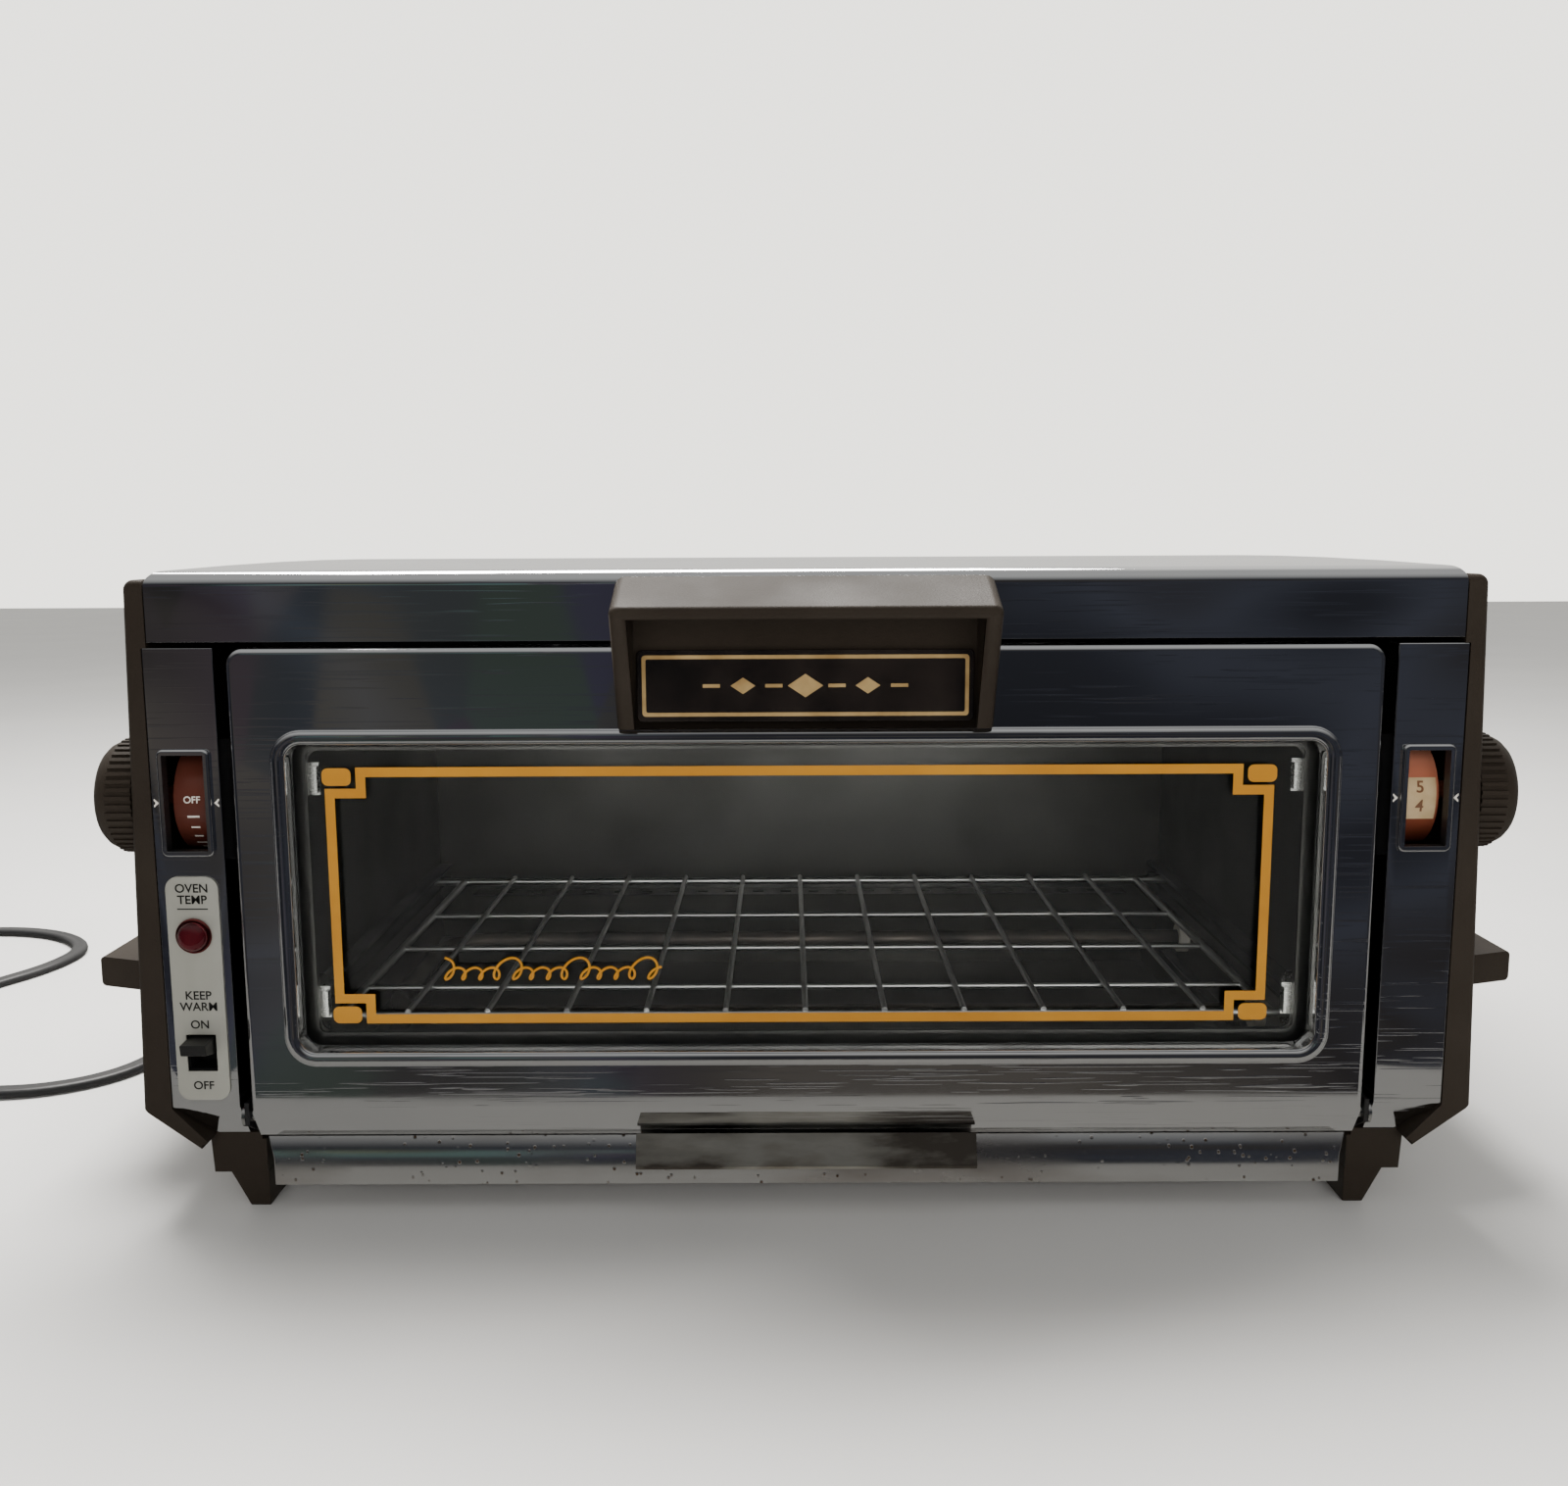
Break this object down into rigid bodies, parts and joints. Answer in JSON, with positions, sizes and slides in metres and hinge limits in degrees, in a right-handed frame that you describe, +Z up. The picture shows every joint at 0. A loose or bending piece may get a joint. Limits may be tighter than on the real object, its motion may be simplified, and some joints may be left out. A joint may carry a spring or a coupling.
{
  "type": "countertop toaster oven",
  "caption": "Chrome countertop toaster oven with a drop-down glass door, sliding wire rack, crumb tray, thumb-wheel dials at both ends and a flat power cord.",
  "frame": {"origin": "on the floor, under the middle of the oven's footprint measured without its cord", "axes": "+X to the right seen from the front, +Y to the back, +Z up; the door faces -Y"},
  "size_m": [0.7384, 0.3474, 0.1992],
  "materials": {
    "chrome": "mirror polished",
    "brown_plastic": "fine satin grain",
    "black_steel": "satin black",
    "aluminised_steel": "bright rolled",
    "glass": "clear",
    "badge_gloss": "gloss black with gold line",
    "label_silver": "satin",
    "lamp_red": "clear red",
    "bulb": "clear",
    "switch_black": "satin",
    "drum_red_brown": "gloss",
    "drum_orange": "gloss",
    "ceramic": "matte",
    "element_sheath": "heat dulled",
    "rack_wire": "bright",
    "zinc": "spangled",
    "screw_steel": "plain",
    "rubber": "matte",
    "cord_black": "matte",
    "brass": "plain"
  },
  "bodies": {
    "oven": {"back_panel": "black_steel", "baffle_front": "aluminised_steel", "baffle_rear": "aluminised_steel", "base_frame": "black_steel", "control_label_plate": "label_silver", "control_strip_left": "chrome", "control_strip_right": "chrome", "cord_strain_relief": "cord_black", "element_insulators": "ceramic", "end_panel_left": "brown_plastic", "end_panel_right": "brown_plastic", "foot_front_left": "brown_plastic", "foot_front_right": "brown_plastic", "foot_rear_left": "brown_plastic", "foot_rear_right": "brown_plastic", "hinge_pin_left": "screw_steel", "hinge_pin_right": "screw_steel", "keep_warm_switch_body": "switch_black", "lower_element": "element_sheath", "oven_back_wall": "aluminised_steel", "oven_ceiling": "aluminised_steel", "oven_wall_left": "aluminised_steel", "oven_wall_right": "aluminised_steel", "pilot_lamp_bulb": "bulb", "pilot_lamp_lens": "lamp_red", "plug_blades": "brass", "power_cord": "cord_black", "power_cord_coil": "cord_black", "power_plug": "cord_black", "rack_rail_left": "black_steel", "rack_rail_right": "black_steel", "rear_bumper_left": "rubber", "rear_bumper_right": "rubber", "terminal_block": "switch_black", "thermostat_body": "switch_black", "toast_control_body": "switch_black", "top_cover": "chrome", "upper_element": "element_sheath", "window_bezel_left": "chrome", "window_bezel_right": "chrome"},
    "door": {"door_frame": "chrome", "door_glass": "glass", "door_inner_frame": "aluminised_steel", "glass_clips": "screw_steel", "door_handle": "brown_plastic", "handle_badge": "badge_gloss", "handle_screws": "screw_steel", "door_arm_right": "screw_steel", "door_arm_left": "screw_steel"},
    "rack": {"oven_rack": "rack_wire"},
    "crumb_tray": {"crumb_tray_front": "chrome", "crumb_tray_pan": "zinc", "crumb_tray_tab": "zinc"},
    "temperature_dial": {"temperature_knob": "brown_plastic", "temperature_drum": "drum_red_brown"},
    "toast_dial": {"toast_knob": "brown_plastic", "toast_drum": "drum_orange"},
    "keep_warm": {"keep_warm_slider": "switch_black"}
  },
  "joints": [
    {"name": "door_hinge", "type": "hinge", "parent": "oven", "child": "door", "pos_m": [0, -0.1125, 0.0315], "axis": [1, 0, 0], "range_deg": [0, 90], "stiffness_Nm_per_rad": 0.2, "springref_deg": -28.65},
    {"name": "rack_slide", "type": "slide", "parent": "oven", "child": "rack", "axis": [0, -1, 0], "range_m": [0, 0.0505]},
    {"name": "crumb_tray_slide", "type": "slide", "parent": "oven", "child": "crumb_tray", "axis": [0, -1, 0], "range_m": [0, 0.11]},
    {"name": "temperature_turn", "type": "hinge", "parent": "oven", "child": "temperature_dial", "pos_m": [-0.18325, -0.096, 0.1289], "axis": [1, 0, 0], "range_deg": [0, 270]},
    {"name": "toast_turn", "type": "hinge", "parent": "oven", "child": "toast_dial", "pos_m": [0.18325, -0.096, 0.1289], "axis": [1, 0, 0], "range_deg": [-150, 120]},
    {"name": "keep_warm_slide", "type": "slide", "parent": "oven", "child": "keep_warm", "axis": [0, 0, 1], "range_m": [-0.005, 0]}
  ],
  "couplings": [
    {"joint": "rack_slide", "follows": "door_hinge", "m_per_rad": 0.032}
  ]
}
